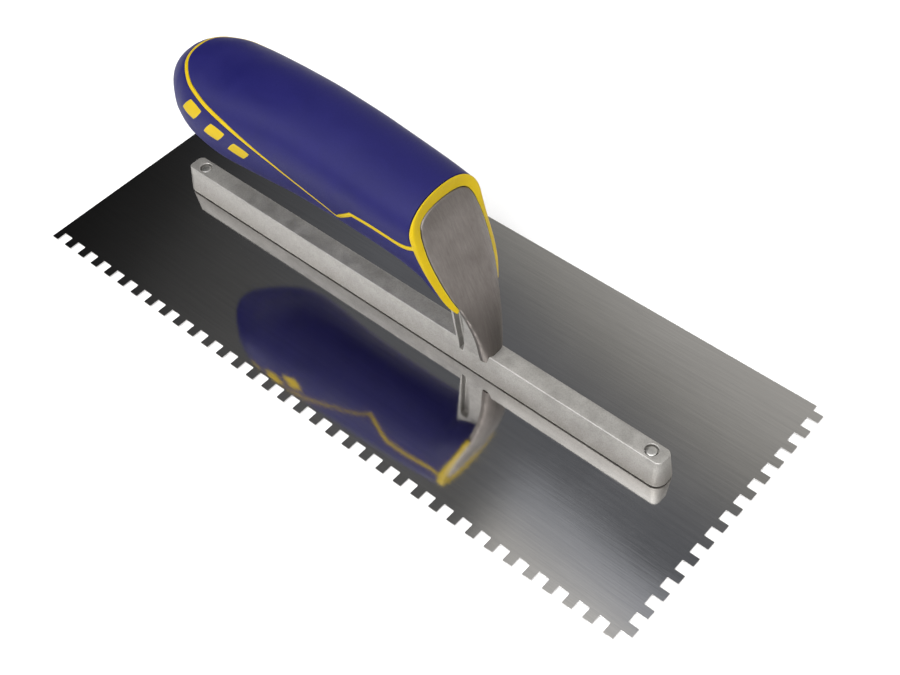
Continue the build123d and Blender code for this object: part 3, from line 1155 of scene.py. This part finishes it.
def build_collar(material):
    """Rounded yellow ring between the shield and the grips, open at the bottom round the post."""
    trial = np.linspace(0.3, math.pi, 400)
    heights = handle_point(np.full(400, COLLAR), trial)[:, 2]
    end = float(np.interp(-EAR_Z, -heights, trial))
    angle = np.linspace(-end, end, 181)
    station = np.full(len(angle), COLLAR)
    rear, normal = signed_point(station, angle)
    ahead, _ = signed_point(station + 0.5, angle)
    forward = (ahead - rear) / np.linalg.norm(ahead - rear, axis=1, keepdims=True)
    bearing = np.arctan2(np.abs(rear[:, 1]), rear[:, 2] - COLLAR_CENTRE_Z)
    radius = shield_radius(bearing) + SHIELD_GAP
    side = np.sign(rear[:, 1])
    y = side * radius * np.sin(bearing)
    z = COLLAR_CENTRE_Z + radius * np.cos(bearing)
    front = np.stack([face_edge(z) - COLLAR_SET_BACK, y, z], 1)
    reach = np.maximum((front - rear)[:, 0], 0.5)[:, None]
    corner = rear + forward * reach * 0.95 + normal * 0.35
    centre = np.stack([front[:, 0], 0 * z, 0 * z + COLLAR_CENTRE_Z], 1)
    inward = centre - front
    inward /= np.linalg.norm(inward, axis=1, keepdims=True)
    columns = [rear - normal * depth for depth in (COLLAR_WALL, 0.4, 0.1)]
    for t in np.linspace(0, 1, 15):
        weight = COLLAR_CORNER_WEIGHT
        total = (1 - t) ** 2 + 2 * weight * t * (1 - t) + t**2
        blend = (1 - t) ** 2 * rear + 2 * weight * t * (1 - t) * corner + t**2 * front
        columns.append(blend / total + (normal * 0.02 if 0 < t < 0.2 else 0))
    groove = front - (SHIELD_GAP_DEPTH, 0, 0)
    columns += [groove, groove + inward * COLLAR_WALL]
    rings = list(np.stack(columns, 1))
    tips = []
    for ring, beyond in ((rings[0], rings[0] - rings[1]), (rings[-1], rings[-1] - rings[-2])):
        way = beyond.mean(0)
        way /= np.linalg.norm(way)
        middle = ring.mean(0)
        tips.append([middle + (ring - middle) * scale + way * push for scale, push in EAR_STEPS])
    rings = tips[0][::-1] + rings + tips[1]
    make_piece("collar", *loft(rings), material, "core_plastic", 50)


def build_core(material):
    """Inner body of the handle, which closes its front behind the shield."""
    stations = np.linspace(CORE_REAR, COLLAR + CORE_REACH, 60)
    angle = np.linspace(-math.pi, math.pi, 72, endpoint=False)
    rings = []
    for station in stations:
        point, normal = signed_point(np.full(len(angle), station), angle)
        rings.append(sink(point, normal, GRIP_DEPTH + CORE_GAP))
    piece = make_piece("core_body", *loft(rings), material, "core_plastic", 50)
    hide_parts("handle_core")


def build_motif(material):
    """Three plain slanted blocks, one behind the other, under the line on each side of the tail."""
    share = np.array([-1.0, -1.0, -0.96, *np.linspace(-0.85, 0.85, 11), 0.96, 1.0, 1.0])
    flat_u, flat_v = np.meshgrid(share, share)
    rim = np.maximum(np.abs(flat_u), np.abs(flat_v)) >= 1
    u = (flat_u * np.sqrt(1 - MOTIF_ROUND * flat_v**2 / 2) + 1) / 2
    v = (flat_v * np.sqrt(1 - MOTIF_ROUND * flat_u**2 / 2) + 1) / 2
    lift = np.where(rim, MOTIF_RIM_LIFT, MOTIF_LIFT)
    lift[[0, -1], :] = lift[:, [0, -1]] = -0.1
    for number, start in enumerate(MOTIF_STARTS, start=1):
        drop = MOTIF_DROP + MOTIF_FALL * (start - MOTIF_STARTS[0])
        x = start + u * MOTIF_WIDTH + MOTIF_SLANT * v
        z = line_height(x, 0.0 * x) - drop - v * MOTIF_HEIGHT
        point, normal = outward(x, angle_at(x, z))
        for side, sign in (("near", -1), ("far", 1)):
            outer = (point + normal * lift[..., None]) * (1, sign, 1)
            inner = (point - normal * MOTIF_DEPTH) * (1, sign, 1)
            shell_from_grid(f"motif_{side}_{number}", outer, inner, material, "core_plastic")


# ---- studio


def build_camera():
    azimuth, elevation = math.radians(CAMERA_AZIMUTH), math.radians(CAMERA_ELEVATION)
    back = Vector((
        math.sin(azimuth) * math.cos(elevation),
        -math.cos(azimuth) * math.cos(elevation),
        math.sin(elevation),
    ))
    level = Vector((math.cos(azimuth), math.sin(azimuth), 0))
    upright = back.cross(level)
    roll = math.radians(CAMERA_ROLL)
    right = level * math.cos(roll) + upright * math.sin(roll)
    up = back.cross(right)
    data = bpy.data.cameras.new("camera")
    data.lens = CAMERA_LENS
    data.sensor_width = CAMERA_SENSOR
    data.clip_start, data.clip_end = 0.01, 20
    camera = place_object("camera", data)
    turn = Matrix((right, up, back)).transposed().to_4x4()
    camera.matrix_world = Matrix.Translation(CAMERA_PLACE) @ turn
    bpy.context.scene.camera = camera


def area_light(name, place, target, size, power):
    data = bpy.data.lights.new(name, "AREA")
    data.shape = "RECTANGLE"
    data.size, data.size_y = size
    data.energy = power
    light = place_object(name, data)
    light.location = place
    light.rotation_euler = (Vector(target) - Vector(place)).to_track_quat("-Z", "Y").to_euler()


def tinted(level, warmth):
    return (level * (1 + RED_PER_WARMTH * warmth), level, level * (1 - BLUE_PER_WARMTH * warmth))


def build_world():
    """Studio that is dark beyond the tail, with a pale wall behind and a softbox in front and right."""
    world = bpy.data.worlds.new("studio")
    world.use_nodes = True
    bpy.context.scene.world = world
    tree = world.node_tree
    direction = tree.nodes.new("ShaderNodeSeparateXYZ")
    tree.links.new(tree.nodes.new("ShaderNodeTexCoord").outputs["Generated"], direction.inputs[0])

    def combine(operation, first, second):
        node = tree.nodes.new("ShaderNodeVectorMath")
        node.operation = operation
        tree.links.new(first, node.inputs[0])
        tree.links.new(second, node.inputs[1])
        return node.outputs["Vector"]

    def levels(source, stops):
        ramp = tree.nodes.new("ShaderNodeValToRGB")
        fill_ramp(ramp.color_ramp, [(place, tinted(level, warmth)) for place, level, warmth in stops])
        tree.links.new(source, ramp.inputs["Fac"])
        return ramp.outputs["Color"]

    leftward = tree.nodes.new("ShaderNodeMath")
    leftward.operation = "MULTIPLY"
    leftward.inputs[1].default_value = -1
    tree.links.new(direction.outputs["X"], leftward.inputs[0])
    across, along = direction.outputs["Y"], leftward.outputs["Value"]
    wall = combine("MULTIPLY", levels(across, WALL_LEVELS), levels(along, TAIL_SIDE_LEVELS))
    softbox = combine("MULTIPLY", levels(across, SOFTBOX_LEVELS), levels(along, SOFTBOX_END_LEVELS))
    lit = combine("ADD", wall, softbox)
    background = tree.nodes["Background"]
    tree.links.new(lit, background.inputs["Color"])


def build_studio():
    bpy.context.scene.view_settings.view_transform = "Standard"
    bm = bmesh.new()
    bmesh.ops.create_grid(bm, x_segments=8, y_segments=8, size=FLOOR_REACH)
    mesh = bpy.data.meshes.new("floor")
    bm.to_mesh(mesh)
    bm.free()
    mesh.materials.append(floor_paint())
    floor = place_object("floor", mesh)
    floor.location.z = FLOOR_Z
    for light in LIGHTS:
        area_light(*light)
    build_world()


# ---- assembly


def dress_hidden_nodes(material):
    """Studs and pin stay CAD nodes; only their material is renewed."""
    for name in ("hidden_stud_1", "hidden_stud_2", "hidden_stud_3", "core_pin"):
        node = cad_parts[name]
        node.data.materials.clear()
        node.data.materials.append(material)


build_camera()
casting = cast_aluminium()
rubber = soft_rubber()
yellow = yellow_plastic()
rivet = rivet_steel()
build_blade(steel_blade())
build_bar(casting)
build_post(casting)
build_shield(brushed_shield_painted_shade())
build_rivet("front_rivet_head", "front_rivet", rivet)
build_rivet("rear_rivet_head", "rear_rivet", rivet)
build_core(yellow)
build_upper_grip(rubber)
build_lower_grip(rubber)
build_line(yellow)
build_collar(yellow)
build_motif(yellow)
dress_hidden_nodes(rivet)
build_studio()
